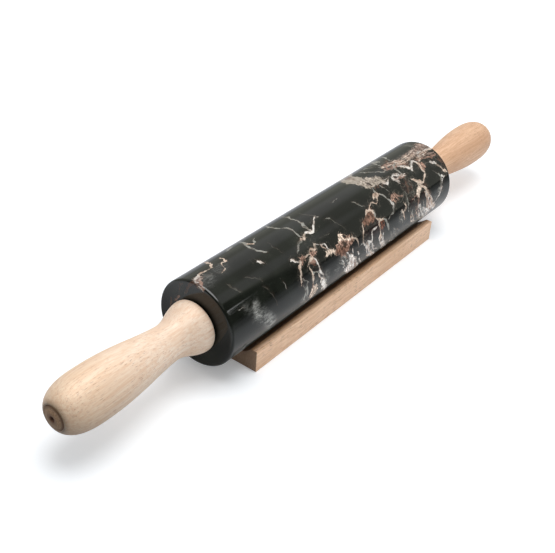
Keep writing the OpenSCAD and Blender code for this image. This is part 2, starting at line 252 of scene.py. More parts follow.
# A small patch comes after the bigger one that it lies in
PATCHES = (
    Patch("taupe", 0.74, ((-129, 80), (-129, 90), (-126, 98), (-121, 102), (-118, 99), (-121, 94),
         (-125, 87))),
    Patch("pink", 0.9, ((-58.5, 40), (-56.5, 45), (-53.5, 46.5), (-51.5, 44), (-53.5, 40.5), (-56, 36))),
    Patch("pink", 0.85, ((-46.5, 41), (-44.5, 43.5), (-41.8, 42.5), (-42, 38.5), (-44.5, 38))),
    Patch("pink", 1.0, ((-52, 30.5), (-48, 33.5), (-45, 33), (-44.5, 29), (-48, 28.5))),
    Patch("cream", 0.97, ((-34, 26), (-31.5, 31.5), (-28.5, 33.5), (-24.5, 30.5), (-23, 27), (-28, 26))),
    Patch("pink", 0.9, ((-24, 27), (-21, 33), (-17, 36), (-15, 41), (-13, 41), (-10, 36), (-6, 32),
         (-2, 27), (-4, 24), (-8, 22), (-9, 17), (-12, 13), (-16, 14), (-20, 19), (-23, 24))),
    Patch("umber", 0.94, ((-23, 25), (-19, 26.5), (-14, 25), (-9, 22), (-10, 16), (-13, 13), (-17, 15),
         (-20, 20))),
    Patch("cream", 0.9, ((-21, 32), (-17, 37.5), (-14.5, 42), (-12.5, 41.5), (-11, 36.5), (-14, 34),
         (-17, 32))),
    Patch("cream", 0.96, ((-13, 37), (-10, 33.5), (-7, 31.5), (-3, 28.5), (-2, 26.5), (-6, 27.5),
         (-9, 29.5), (-12, 33))),
    Patch("brown", 1.0, ((-15, 31.5), (-11.3, 31), (-10, 26), (-12.5, 22), (-14.5, 25))),
    Patch("bright", 0.93, ((-11, -3), (-9, 7), (-5, 4), (-2, -4), (1, -20), (-2, -32), (-8, -22),
         (-12, -10))),
    Patch("cream", 0.74, ((-50, 0), (-46.5, -2), (-44.5, -9), (-48, -20), (-52, -18), (-51, -8))),
    Patch("white", 0.72, ((-43, 3), (-40.5, 4), (-38, -6), (-33, -22), (-35, -26), (-40, -10))),
    Patch("pink", 0.7, ((-3, -8), (1, -12), (5, -24), (7, -34), (2, -34), (-1, -22))),
    Patch("umber", 0.94, ((11.5, 36.5), (14, 40), (18, 43), (22, 47), (24.5, 48), (25.8, 46), (27.5, 42),
         (27, 38), (25.5, 33), (22, 31.5), (17, 31.5), (13, 33.5))),
    Patch("mauve", 0.75, ((9, 30), (25, 31), (34, 24), (33, 12), (20, 10), (9, 14))),
    Patch("rust", 0.85, ((30, 25.5), (34, 25), (34.5, 18), (32.5, 12), (30, 14))),
    Patch("ash", 1.0, ((44, 138), (40, 128), (37, 117), (35, 109), (33, 101), (35.5, 95), (36, 90),
         (47.5, 90), (46.6, 101), (47.6, 110), (51, 117), (56, 126), (62, 138))),
    Patch("ash", 0.95, ((35.6, 92), (36.3, 84), (38, 77), (40, 71.5), (42, 73), (44, 71.5), (47, 70.5),
         (51, 69.5), (55, 68), (57, 70), (57.3, 76), (55.5, 82), (52, 86), (49, 92))),
    Patch("brown", 0.8, ((43.4, 81), (44.6, 81), (45, 75.5), (43.4, 74.5))),
    Patch("brown", 0.7, ((44, 69), (52, 69), (53, 64), (47, 64.5))),
    Patch("pink", 0.62, ((50, 40), (51, 43.5), (53.5, 46), (56, 44), (56, 38), (52, 36.5))),
    Patch("mauve", 0.7, ((67, 37), (74, 34), (79, 40), (79, 52), (73, 57), (67, 52))),
    Patch("mauve", 0.6, ((69, 61), (76, 60), (76.5, 67), (70, 67))),
    Patch("mauve", 0.7, ((68, 30), (78, 28), (79, 12), (70, 10))),
    Patch("brown", 0.75, ((78, 93), (81, 100), (84.5, 101), (84.5, 92), (81, 89))),
    Patch("taupe", 0.9, ((82.5, 84), (85, 89), (89, 88), (92.5, 84.5), (94, 80), (90, 75.5), (86, 75),
         (85, 79))),
    Patch("rust", 0.9, ((87, 81), (89.8, 82), (89.6, 78), (87.3, 77.5))),
    Patch("cream", 0.7, ((84, 73), (88, 72), (89, 67), (86.5, 69))),
    Patch("taupe", 0.93, ((92, 81.5), (96, 80), (101, 83), (105, 87), (110, 89), (117, 90), (121, 95),
         (126, 98), (128, 90), (128, 76), (118, 72), (110, 74), (105, 77), (101, 77), (95, 76))),
    Patch("mauve", 0.85, ((94, 75), (100, 76), (103, 72), (100, 70.5))),
    Patch("pink", 0.9, ((99, 62), (102, 65), (105, 61), (105.5, 56), (102, 52.5), (99.3, 54))),
    Patch("cream", 0.97, ((79, 27), (80.5, 32), (84, 36), (86, 40), (88.5, 38.5), (89, 33), (86.5, 29),
         (84, 25), (82, 20), (79.5, 22))),
    Patch("brown", 0.85, ((90, 36), (94, 35), (95, 29), (92, 30))),
    Patch("brown", 0.6, ((79, 20), (84, 22), (83, 8), (78, 6))),
    Patch("pink", 0.8, ((92, 12), (95, 8), (99, 1), (105, -8), (101, -13), (96, -6), (92.5, 0))),
    Patch("mauve", 0.8, ((84, 10), (91, 10), (91, 25), (86, 27))),
    Patch("brown", 0.6, ((122, 55), (128, 58), (128, 36), (124, 38))),
)

# Bundles of thin veins, most of them low on the front
BUNDLES = (
    Bundle(("white", "cream", "brown"), 6, 2.0, ((-131, 82), (-126, 92), (-120, 102))),
    Bundle(("white", "cream", "bright"), 9, 1.9, ((-42.5, 14), (-39.5, 0), (-36, -13), (-32, -28))),
    Bundle(("cream", "grey", "pink"), 6, 2.4, ((-48.5, 4), (-47.5, -6), (-49, -16), (-52, -26))),
    Bundle(("grey", "grey", "dim"), 5, 2.2, ((-59.5, 12), (-57.5, 0), (-55.5, -12), (-51, -24))),
    Bundle(("grey", "dim"), 4, 1.6, ((-36, 6), (-34.5, -4), (-33, -12))),
    Bundle(("white", "pink", "grey"), 9, 3.4, ((-20, 12), (-15, 6), (-12, -4), (-9, -14))),
    Bundle(("bright", "white", "bright", "pink"), 20, 4.2, ((-9, 10), (-7.5, -2), (-4.5, -14), (2, -35))),
    Bundle(("pink", "cream", "white"), 6, 2.6, ((-1, 0), (3, -14), (10, -34))),
    Bundle(("white", "bright", "cream"), 13, 3.8, ((11, 9), (13, 0), (17, -11), (24, -22), (32, -35))),
    Bundle(("white", "cream", "bright"), 11, 3.0, ((29.5, 6), (31, -4), (36, -15), (45, -32))),
    Bundle(("grey", "dim", "grey"), 6, 4.0, ((42, 0), (48, -13), (58, -32))),
    Bundle(("dim", "grey", "cream"), 6, 2.4, ((56, 20), (57.5, 8), (59, -4))),
    Bundle(("dim", "umber", "dim", "grey"), 12, 6.0, ((74, 59), (72, 44), (72, 32), (70, 10))),
    Bundle(("white", "pink", "white"), 5, 2.0, ((57, 70), (64, 67), (72, 64), (80, 61))),
    Bundle(("pink", "taupe", "cream", "brown"), 14, 4.2, ((70, 89), (82, 85), (94, 80), (110, 83),
         (127, 90))),
    Bundle(("cream", "taupe", "white", "brown"), 14, 4.2, ((99, 75), (108, 78), (117, 77), (129, 74))),
    Bundle(("cream", "pink", "white", "bright"), 15, 2.8, ((91, 33), (94, 21), (95, 8), (99, -4),
         (106, -17))),
    Bundle(("white", "grey", "bright"), 15, 4.6, ((82, 12), (84.5, 1), (90, -11), (98, -27))),
    Bundle(("grey", "pink", "cream"), 12, 3.8, ((73, 12), (74, 0), (79, -13), (88, -29))),
    Bundle(("grey", "dim", "white"), 4, 2.4, ((116, 28), (112.5, 14), (104, -3), (99.5, -20))),
    Bundle(("grey", "dim"), 6, 3.6, ((76, 108), (81, 120), (88, 133))),
)

# Bundles that run on underneath
UNDER_BUNDLES = (
    Bundle(("white", "cream", "grey"), 8, 3.0, ((-34, -22), (-26, -42), (-8, -60), (10, -84))),
    Bundle(("bright", "pink", "white"), 9, 3.2, ((-2, -26), (10, -46), (30, -58), (44, -84))),
    Bundle(("cream", "grey", "dim"), 7, 3.4, ((28, -28), (40, -46), (46, -72))),
    Bundle(("white", "grey", "pink"), 8, 3.6, ((44, -26), (60, -42), (84, -50), (100, -72))),
    Bundle(("cream", "white", "grey"), 7, 3.0, ((96, -22), (108, -42), (126, -56))),
    Bundle(("grey", "dim", "white"), 6, 3.2, ((-52, -24), (-60, -44), (-54, -70))),
)

# Pale hazes in the stone
CLOUDS = (
    Cloud(0.5, 4.0, ((76, 110), (84, 123), (92, 136))),
    Cloud(1.3, 2.6, ((-104.5, 27), (-105, 18), (-103.5, 12), (-100.5, 9), (-97, 5))),
    Cloud(1.2, 3.8, ((-104, 14), (-98, 4), (-94, -4), (-91, -14))),
    Cloud(0.35, 2.5, ((-112, 31), (-108, 26), (-106, 20))),
    Cloud(0.5, 3.0, ((-60, -8), (-57, -20))),
    Cloud(0.5, 3.0, ((-47, 2), (-46, -8))),
    Cloud(0.5, 2.5, ((-35, 5), (-34, -3))),
    Cloud(0.5, 2.5, ((-24, 2), (-23, -2))),
    Cloud(0.5, 3.0, ((-20, 10), (-16, 5), (-12, -3))),
    Cloud(0.3, 3.0, ((55, 8), (60, 0))),
    Cloud(0.4, 4.5, ((88, -2), (94, -10), (100, -20))),
    Cloud(0.4, 3.0, ((12, 2), (16, -6))),
    Cloud(0.5, 3.0, ((105, 5), (108, -3), (111, -10))),
    Cloud(0.35, 4.0, ((-122, 84), (-114, 92), (-106, 92))),
    Cloud(0.08, 6.0, ((60, 70), (75, 75), (95, 60), (120, 55))),
)


# Settings

def length(name, description, default_mm):
    return FloatProperty(name=name, description=description, default=default_mm * MM, min=0.0,
                         unit="LENGTH")


def share(name, description, default):
    return FloatProperty(name=name, description=description, default=default, min=0.0, max=1.0,
                         subtype="FACTOR")


def colour(name, description, default):
    return FloatVectorProperty(name=name, description=description, default=default, size=3, min=0.0,
                               max=1.0, subtype="COLOR_GAMMA")


def angle(name, description, degrees):
    return FloatProperty(name=name, description=description, default=math.radians(degrees),
                         subtype="ANGLE", unit="ROTATION")


class BarrelSettings(PropertyGroup):
    edge_radius: length("Edge radius", "Radius that rounds the rim of each end face", 1.6)
    bore_radius: length("Bore radius", "Radius of the hole cored through the stone", 7.0)
    sleeve_radius: length("Sleeve radius", "Radius of the seat that takes a bearing's sleeve", 10.0)
    flange_depth: length("Flange depth", "Depth of the seat that takes a bearing's flange", 2.0)
    mesh_pitch: length("Mesh pitch", "Spacing of the mesh that carries the veins", 0.8)
    polish: share("Polish roughness", "Roughness of the polished stone", 0.07)
    stone: colour("Stone", "Colour of the black stone", (0.068, 0.076, 0.062))
    stone_pale: colour("Stone, pale drift", "Colour of the drifts in the black stone", (0.15, 0.165, 0.14))
    seed: IntProperty(name="Seed", default=7,
                      description="Seed of the thin streaks and of the wobble in the veins")


class HandleSettings(PropertyGroup):
    neck_radius: length("Neck radius", "Radius of the neck", 11.4)
    belly_radius: length("Belly radius", "Radius of the belly that fills the palm", 16.35)
    root_corner: length("Root corner", "Radius that rounds the rim of the root", 2.2)
    neck_at: length("Neck place", "Distance from the marble to the neck", 24)
    belly_at: length("Belly place", "Distance from the marble to the belly", 79)
    reach: length("Reach", "Distance from the marble to the tip that the nose curve aims at", 107)
    pocket_floor: length("Pocket floor", "Distance from the marble to the floor of the nut's pocket", 86)
    rod_hole_radius: length("Rod hole radius", "Radius of the hole for the rod's thin end", 3.15)
    washer_radius: length("Washer seat radius", "Radius of the seat for the thrust washer", 10.5)
    washer_depth: length("Washer seat depth", "Distance from the marble to the seat's floor", 1.3)
    beech: colour("Beech", "Colour of the left handle's wood", (0.95, 0.865, 0.768))
    beech_deep: colour("Beech, late wood", "Colour of the left handle's darker rings",
                       (0.88, 0.725, 0.585))
    rosy_beech: colour("Rosy beech", "Colour of the right handle's wood", (0.90, 0.75, 0.62))
    rosy_beech_deep: colour("Rosy beech, late wood", "Colour of the right handle's darker rings",
                            (0.80, 0.62, 0.48))
    fleck: colour("Fleck", "Colour of the short flecks along the grain", (0.62, 0.41, 0.32))
    end_grain: colour("End grain", "Colour of the darker wood at the nose", (0.45, 0.36, 0.26))


class PlugSettings(PropertyGroup):
    radius: length("Plug radius", "Radius of the plug that closes the nut's pocket", 7.5)
    dimple_radius: length("Dimple radius", "Radius of the dimple in the plug's centre", 1.9)
    dimple_depth: length("Dimple depth", "Depth of the dimple", 2.6)
    wood: colour("Plug wood", "Colour of the plug's end grain", (0.78, 0.64, 0.50))
    wood_deep: colour("Plug wood, deep", "Colour of the plug's rings and pores", (0.52, 0.39, 0.28))
    groove: colour("Plug groove", "Colour of the dark ring round the plug", (0.42, 0.31, 0.21))
    # the dimple's colour is painted shade, the dark inside its deep hole
    dimple: colour("Dimple", "Colour of the stained dimple", (0.32, 0.17, 0.09))


class CradleSettings(PropertyGroup):
    trough_radius: length("Trough radius", "Radius of the trough that the barrel lies in", 35.5)
    trough_floor: length("Trough floor", "Thickness of the wood under the middle of the trough", 5.8)
    edge: length("Edge", "Width of the rounding along the edges", 0.8)
    wood: colour("Cradle wood", "Colour of the cradle's wood", (0.945, 0.81, 0.695))
    wood_deep: colour("Cradle wood, late wood", "Colour of the cradle's darker rings", (0.84, 0.68, 0.54))
    fleck: colour("Cradle fleck", "Colour of the short flecks along the grain", (0.52, 0.37, 0.29))
    end_grain: colour("Cradle end grain", "Colour of the sawn ends", (0.42, 0.33, 0.25))


class StudioSettings(PropertyGroup):
    lens: FloatProperty(name="Lens", description="Focal length", default=57.47, min=1.0, unit="CAMERA")
    camera_place: FloatVectorProperty(name="Camera place", description="Where the camera stands", size=3,
                                      default=(-0.4357, -0.2764, 0.3471), subtype="TRANSLATION",
                                      unit="LENGTH")
    camera_heading: angle("Camera heading", "Turn of the view from +X towards +Y", 35.5806)
    camera_dip: angle("Camera dip", "Angle of the view below the horizon", 33.8178)
    camera_roll: angle("Camera roll", "Turn of the camera about its own view", 3.9413)
    sky: FloatProperty(name="Sky", description="Strength of the bright side of the surroundings",
                       default=0.95, min=0.0)
    fill: FloatProperty(name="Fill", description="Strength of the soft light from the front",
                        default=0.75, min=0.0)
    lamp: FloatProperty(name="Lamp", description="Power of the soft overhead lamp", default=8.5, min=0.0,
                        unit="POWER")
    lamp_size: length("Lamp size", "Width of the soft overhead lamp", 900)
    floor: colour("Floor", "Colour of the pale floor", (0.955, 0.97, 0.985))


def linear(srgb):
    """The scene's linear colour for a colour as it looks on the screen."""
    return tuple(Color(srgb[:3]).from_srgb_to_scene_linear())


# Nodes

class Board:
    """The nodes of one material, with short ways to add and join them."""

    def __init__(self, tree):
        self.tree = tree
        self.tree.nodes.clear()

    def add(self, kind, inputs=None, **settings):
        node = self.tree.nodes.new(kind)
        for key, value in settings.items():
            setattr(node, key, value)
        for key, value in (inputs or {}).items():
            self.feed(node.inputs[key], value)
        return node

    def feed(self, socket, value):
        if isinstance(value, bpy.types.NodeSocket):
            self.tree.links.new(value, socket)
        elif isinstance(value, (tuple, list)) and socket.type == "RGBA":
            socket.default_value = (*value[:3], 1.0)
        else:
            socket.default_value = value

    def close(self, shader, kind="Material"):
        """Ends the board in one shader."""
        self.add(f"ShaderNodeOutput{kind}", {"Surface": shader.outputs[0]})

    def place(self):
        return self.add("ShaderNodeTexCoord").outputs["Object"]

    def rays(self):
        """What kind of ray asks: Is Camera Ray, Is Glossy Ray and so on."""
        return self.add("ShaderNodeLightPath").outputs

    def attribute(self, name, output="Fac"):
        return self.add("ShaderNodeAttribute", attribute_name=name).outputs[output]

    def parts(self, vector):
        """The X, Y and Z parts of vector."""
        return self.add("ShaderNodeSeparateXYZ", {"Vector": vector}).outputs

    def maths(self, operation, first, second=0.0, third=0.0):
        return self.add("ShaderNodeMath", {0: first, 1: second, 2: third}, operation=operation).outputs[0]

    def times(self, value, *factors):
        for factor in factors:
            value = self.maths("MULTIPLY", value, factor)
        return value

    def minus(self, first, second):
        return self.maths("SUBTRACT", first, second)

    def greater(self, first, second):
        """The greater of two values."""
        return self.maths("MAXIMUM", first, second)

    def size(self, value):
        return self.maths("ABSOLUTE", value)

    def hypotenuse(self, first, second):
        squares = self.maths("ADD", self.maths("POWER", first, 2.0), self.maths("POWER", second, 2.0))
        return self.maths("SQRT", squares)

    def toward(self, factor, value, target):
        """value moved by factor towards target."""
        return self.maths("MULTIPLY_ADD", factor, self.minus(target, value), value)

    def sway(self, noise, size, value=0.0):
        """value moved both ways by a noise of that size."""
        return self.maths("MULTIPLY_ADD", self.minus(noise, 0.5), size, value)

    def range(self, value, low, high, to_low=0.0, to_high=1.0):
        """value eased from low..high to to_low..to_high, and held there beyond it."""
        node = self.add("ShaderNodeMapRange", {"Value": value, "From Min": low, "From Max": high,
                                               "To Min": to_low, "To Max": to_high},
                        interpolation_type="SMOOTHSTEP")
        return node.outputs["Result"]

    def mix(self, factor, first, second, blend="MIX"):
        factor_socket, first_socket, second_socket, result = 0, 6, 7, 2
        node = self.add("ShaderNodeMix", data_type="RGBA", blend_type=blend)
        self.feed(node.inputs[factor_socket], factor)
        self.feed(node.inputs[first_socket], first)
        self.feed(node.inputs[second_socket], second)
        return node.outputs[result]

    def vector(self, operation, *operands):
        node = self.add("ShaderNodeVectorMath", dict(enumerate(operands)), operation=operation)
        return node.outputs["Value" if operation == "DOT_PRODUCT" else "Vector"]

    def spots(self, place, scale=(1.0, 1.0, 1.0), turn=(0.0, 0.0, 0.0), shift=(0.0, 0.0, 0.0)):
        """place stretched, turned and shifted."""
        node = self.add("ShaderNodeMapping", {"Vector": place, "Scale": scale, "Rotation": turn,
                                              "Location": shift})
        return node.outputs["Vector"]

    def noise(self, place, scale, detail=3.0, roughness=0.5, distortion=0.0, turn=(0.0, 0.0, 0.0)):
        """Noise from 0 to 1, finer for a greater scale. Three scales, one for each axis, draw it out."""
        if isinstance(scale, tuple):
            place, scale = self.spots(place, scale, turn), 1.0
        node = self.add("ShaderNodeTexNoise", {"Vector": place, "Scale": scale, "Detail": detail,
                                               "Roughness": roughness, "Distortion": distortion})
        return node.outputs["Fac"]

    def warped(self, place, scale, size):
        """place moved about by a noise of that scale, by size along each axis."""
        noise = self.add("ShaderNodeTexNoise", {"Vector": place, "Scale": scale, "Detail": 3.0})
        centred = self.vector("SUBTRACT", noise.outputs["Color"], (0.5, 0.5, 0.5))
        return self.vector("MULTIPLY_ADD", centred, (size, size, size), place)

    def cracks(self, place, scale, low, high):
        """A net of thin lines between cells: 1 on a line, 0 off it."""
        cells = self.add("ShaderNodeTexVoronoi", {"Vector": place, "Scale": scale},
                         feature="DISTANCE_TO_EDGE")
        return self.range(cells.outputs["Distance"], low, high, 1.0, 0.0)

    def bump(self, height, strength, distance):
        node = self.add("ShaderNodeBump", {"Height": height, "Strength": strength, "Distance": distance})
        return node.outputs["Normal"]


def new_board(name):
    material = bpy.data.materials.new(name)
    material.use_nodes = True
    return material, Board(material.node_tree)


def close_board(board, **inputs):
    """Ends a board in one surface shader. The inputs are its sockets, with _ for each space."""
    named = {name.replace("_", " "): value for name, value in inputs.items()}
    board.close(board.add("ShaderNodeBsdfPrincipled", named))


def stone_tone(name):
    return linear(VEIN_TONES[name])


# The noises that the marble's layers share, where they are read, and one drawn out along the barrel
Grain = namedtuple("Grain", "place drift swell blotch mottle rag grit crumb")


def marble_grain(board):
    place = board.place()
    return Grain(
        place=place,
        drift=board.noise(place, 22.0, 4.0, 0.55),
        swell=board.noise(place, 150.0, 3.0, 0.55),
        blotch=board.noise(place, 170.0, 5.0, 0.65, 0.3),
        mottle=board.noise(place, 330.0, 5.0, 0.68, 0.4),
        rag=board.noise(place, 430.0, 4.0, 0.6),
        grit=board.noise(place, 1500.0, 3.0, 0.6),
        crumb=board.noise(place, (850.0, 420.0, 420.0), 5.0, 0.65, 0.4, turn=(0.0, 0.0, 0.4)),
    )


def vein_cover(board, grain):
    """How much a vein, the stain beside it and its thin companion cover each place."""
    # the signed distance keeps a narrow vein whole, and the plain distance hides its false crossings
    signed = board.attribute("vein_line")
    off = board.greater(board.size(signed), board.minus(board.attribute("vein_near"), 0.5))
    fray = board.sway(grain.rag, 1.6, board.sway(grain.grit, 0.7))
    width = board.times(board.attribute("vein_half"), board.range(grain.swell, 0.34, 0.64, 0.5, 1.6))
    beyond = board.minus(board.maths("ADD", off, fray), width)
    strength = board.times(board.attribute("vein_tint", "Alpha"),
                           board.range(grain.blotch, 0.34, 0.54, 0.3, 1.0))
    vein = board.times(board.range(beyond, -0.14, 0.14, 1.0, 0.0), strength)
    one_side = board.times(board.range(signed, -0.6, 0.8, 0.2, 1.0), strength)
    stain = board.times(board.range(beyond, -0.1, 1.3, 1.0, 0.0), one_side)
    # the companion joins the vein and leaves it again
    aside = board.size(board.minus(off, board.range(grain.blotch, 0.36, 0.64, 0.3, 3.8)))
    companion = board.times(board.range(aside, 0.10, 0.42, 1.0, 0.0),
                            board.range(grain.mottle, 0.46, 0.56))
    return vein, stain, companion


def patch_cover(board, grain):
    """How much a patch and its bright seams cover each place, and how busy the patch is."""
    solid_share = board.attribute("patch_tint", "Alpha")
    edge = board.sway(grain.blotch, 4.5, board.sway(grain.rag, 3.2, board.attribute("patch_depth")))
    solid = board.range(board.maths("MULTIPLY_ADD", solid_share, 0.5, grain.mottle), 0.78, 0.92)
    patch = board.times(board.range(edge, -0.3, 0.5), solid)
    # the seams run through a patch and on across its dark holes, and a calm patch has few
    busy = board.range(solid_share, 0.92, 1.0, 1.0, 0.15)
    crazed = board.warped(board.spots(grain.place, (1.0, 0.6, 0.6)), 150.0, 0.004)
    seams = board.greater(board.cracks(crazed, 150.0, 0.01, 0.07),
                          board.cracks(crazed, 330.0, 0.01, 0.09))
    seams = board.times(seams, busy, board.range(grain.crumb, 0.42, 0.60), board.range(edge, -1.6, -0.2))
    return patch, seams, busy


def hair_cover(board, grain, companion):
    """How much hairlines cover each place. They cluster round the bold veins and in the patches."""
    bold = board.range(board.attribute("vein_tint", "Alpha"), 0.8, 1.0, 0.15, 1.0)
    lively = board.times(board.range(board.attribute("vein_near"), 0.5, 5.0, 1.0, 0.0), bold)
    lively = board.greater(lively, board.range(board.attribute("patch_depth"), -4.0, 0.0))
    lively = board.times(lively, board.attribute("web"))
    bent = board.warped(grain.place, 95.0, 0.016)
    wide = board.times(board.cracks(bent, 105.0, 0.0, 0.05), board.range(grain.blotch, 0.44, 0.60))
    fine = board.times(board.cracks(bent, 260.0, 0.0, 0.08), board.range(grain.rag, 0.46, 0.60))
    hairs = board.greater(board.times(board.greater(wide, fine), 0.6), companion)
    return board.times(hairs, lively)


def haze_cover(board, grain):
    """How much the wispy pale clouds cover each place."""
    streak = board.noise(grain.place, (260.0, 700.0, 700.0), 5.0, 0.7, 0.6, turn=(0.3, 0.0, 0.5))
    wisp = board.times(board.range(grain.blotch, 0.30, 0.56), board.range(streak, 0.38, 0.62, 0.15, 1.1))
    return board.times(board.attribute("haze"), wisp)


def patch_colour(board, grain, busy):
    """A patch's tone with darker crumbs in it and paler spots."""
    tone = board.attribute("patch_tint", "Color")
    crumbs = board.times(board.range(grain.crumb, 0.42, 0.56, 1.0, 0.0), busy)
    body = board.mix(crumbs, tone, (0.26, 0.20, 0.17), "MULTIPLY")
    return board.mix(board.range(grain.mottle, 0.50, 0.68, 0.0, 0.35), body, tone, "ADD")


def marble_material(settings):
    """Polished black stone with veins, crackled patches, a fine web of hairlines and pale clouds."""
    material, board = new_board("black_marble_polished")
    grain = marble_grain(board)
    vein, stain, companion = vein_cover(board, grain)
    patch, seams, busy = patch_cover(board, grain)
    haze = board.times(haze_cover(board, grain), 0.72)
    hairs = board.times(hair_cover(board, grain, companion), 0.55)
    seam_colour = board.mix(1.0, board.attribute("patch_tint", "Color"), (2.1, 2.05, 2.0), "MULTIPLY")
    vein_colour = board.mix(board.range(grain.mottle, 0.40, 0.56, 0.8, 0.0),
                            board.attribute("vein_tint", "Color"), (0.52, 0.42, 0.37), "MULTIPLY")

    body = board.mix(board.range(grain.drift, 0.44, 0.78), linear(settings.stone),
                     linear(settings.stone_pale))
    body = board.mix(haze, body, stone_tone("haze"))
    body = board.mix(hairs, body, stone_tone("hair"))
    body = board.mix(patch, body, patch_colour(board, grain, busy))
    body = board.mix(seams, body, seam_colour)
    body = board.mix(board.times(stain, 0.42), body, stone_tone("brown"))
    body = board.mix(vein, body, vein_colour)
    rough = board.range(grain.blotch, 0.3, 0.7, settings.polish * 0.8, settings.polish * 1.3)
    close_board(board, Base_Color=body, Roughness=rough, IOR=1.45)
    return material


# What shows in sanded beech, its grain along X
Figure = namedtuple("Figure", "rings fibre lines drift flecks")


def dashes(board, place, size, turnout):
    """Short dark lenses along the grain, thin across it; turnout is the share of cells without one."""
    cells = board.add("ShaderNodeTexVoronoi", {"Vector": place, "Scale": size})
    chance = board.parts(cells.outputs["Color"])["X"]
    return board.times(board.range(cells.outputs["Distance"], 0.14, 0.36, 1.0, 0.0),
                       board.range(chance, turnout, turnout + 0.12))


def beech_figure(board, place, coarse):
    """Faint growth rings about a pith outside the piece, fine fibres, slow drifts and short flecks."""
    wander = board.add("ShaderNodeTexNoise", {"Vector": board.spots(place, (14.0, 40.0, 40.0)),
                                              "Scale": 1.0, "Detail": 2.0})
    bent = board.vector("MULTIPLY_ADD", wander.outputs["Color"], (0.0, 0.006, 0.006), place)
    from_pith = board.parts(board.spots(bent, shift=(0.0, 0.031, 0.047)))
    ring = board.times(board.hypotenuse(from_pith["Y"], from_pith["Z"]), 2100.0 / coarse)
    bold = dashes(board, board.spots(bent, (190.0, 1350.0, 1350.0)), 1.0 / coarse, 0.48)
    small = dashes(board, board.spots(bent, (340.0, 2300.0, 2300.0)), 1.0 / coarse, 0.28)
    patchy = board.range(board.noise(place, (45.0, 90.0, 90.0), 2.0), 0.38, 0.62, 0.35, 1.0)
    return Figure(
        rings=board.range(board.maths("SINE", ring), -0.2, 1.0),
        fibre=board.noise(bent, (55.0, 1500.0, 1500.0), 5.0, 0.6),
        lines=board.noise(bent, (18.0, 900.0, 900.0), 3.0, 0.55),
        drift=board.noise(place, (16.0, 75.0, 75.0), 3.0),
        flecks=board.times(board.greater(bold, board.times(small, 0.65)), patchy),
    )


def wood_material(name, light, late, fleck, end, rough=(0.48, 0.62), contrast=1.0, coarse=1.0, seed=0.0,
                  tone_and_painted_light=None, trough=None):
    """Sanded beech in its light and late wood, with its flecks and its darker end grain.

    The tints given for a handle's root and nose are partly its wood's own tone and partly painted light,
    paler at the root where more light falls.
    trough gives the distances from the middle between which the cradle's wood fades from painted shade to
    plain.
    """
    material, board = new_board(name)
    coordinates = board.add("ShaderNodeTexCoord").outputs
    spot = board.parts(coordinates["Object"])
    facing = board.parts(coordinates["Normal"])
    place = board.spots(coordinates["Object"], turn=(0.0, 0.015, 0.03), shift=(seed, 0.0, 0.0))
    figure = beech_figure(board, place, coarse)
    light, late, fleck, end = linear(light), linear(late), linear(fleck), linear(end)

    body = board.mix(board.times(figure.rings, 0.22 * contrast), light, late)
    body = board.mix(board.range(figure.fibre, 0.38, 0.72, 0.0, 0.5 * contrast), body, late)
    body = board.mix(board.range(figure.lines, 0.46, 0.66, 0.0, 0.55 * contrast), body, late)
    body = board.mix(board.range(figure.drift, 0.38, 0.7, 0.0, 0.6), body, late)
    body = board.mix(board.times(figure.flecks, 0.5 * contrast), body, fleck)
    sawn = board.range(board.size(facing["X"]), 0.68, 0.97, 0.0, 0.85)
    body = board.mix(board.times(sawn, board.range(figure.fibre, 0.3, 0.7, 0.85, 1.0)), body, end)
    # paler towards the root: partly the wood's own tone, partly painted light
    if tone_and_painted_light:
        tint = board.mix(board.range(board.size(spot["X"]), 0.165, 0.225), *tone_and_painted_light)
        body = board.mix(1.0, body, tint, "MULTIPLY")
    if trough:
        # painted shade: darker and warmer in the trough and beside it, where the barrel shades it; and a
        # painted reflection: pale in the polish
        upward = board.range(facing["Z"], 0.3, 0.6)
        shaded = board.times(upward, board.range(board.size(spot["Y"]), *trough, 1.0, 0.06))
        body = board.mix(shaded, body, (0.42, 0.355, 0.29), "MULTIPLY")
        # painted reflection: the polish shows the cradle pale grey
        body = board.mix(board.rays()["Is Glossy Ray"], body, linear(CRADLE_PAINTED_REFLECTION))
    height = board.minus(board.times(figure.fibre, 0.5), figure.flecks)
    close_board(board, Base_Color=body, Roughness=board.range(figure.fibre, 0.3, 0.7, *rough), IOR=1.5,
                Normal=board.bump(height, 0.35, 0.00012))
    return material


def plug_material(settings):
    """End grain of the turned plug: turning rings, pores, a dark groove round it and painted shade in the
    dimple.
    """
    material, board = new_board("plug_end_grain")
    place = board.spots(board.place(), shift=(0.0, 0.0, -AXIS_Z))
    across = board.parts(place)
    radius = board.hypotenuse(across["Y"], across["Z"])
    deep, dimple_r = linear(settings.wood_deep), settings.dimple_radius
    turning = board.maths("SINE", board.times(radius, 7000.0))
    pores = board.noise(place, (200.0, 1700.0, 1700.0), 4.0, 0.6)
    body = board.mix(board.range(pores, 0.35, 0.7), linear(settings.wood), deep)
    body = board.mix(board.range(turning, 0.2, 1.0, 0.0, 0.3), body, deep)
    groove = board.range(radius, settings.radius * 0.76, settings.radius * 0.97)
    body = board.mix(groove, body, linear(settings.groove))
    halo = board.range(radius, dimple_r, dimple_r * 2.5, 1.0, 0.0)
    body = board.mix(halo, body, deep)
    # painted shade: the dimple is dark because it is deep
    painted_dimple_shade = board.range(radius, dimple_r * 0.7, dimple_r * 1.2, 1.0, 0.0)
    body = board.mix(painted_dimple_shade, body, linear(settings.dimple))
    close_board(board, Base_Color=body, Roughness=0.6, IOR=1.5,
                Normal=board.bump(board.maths("ADD", turning, pores), 0.2, 0.0001))
    return material


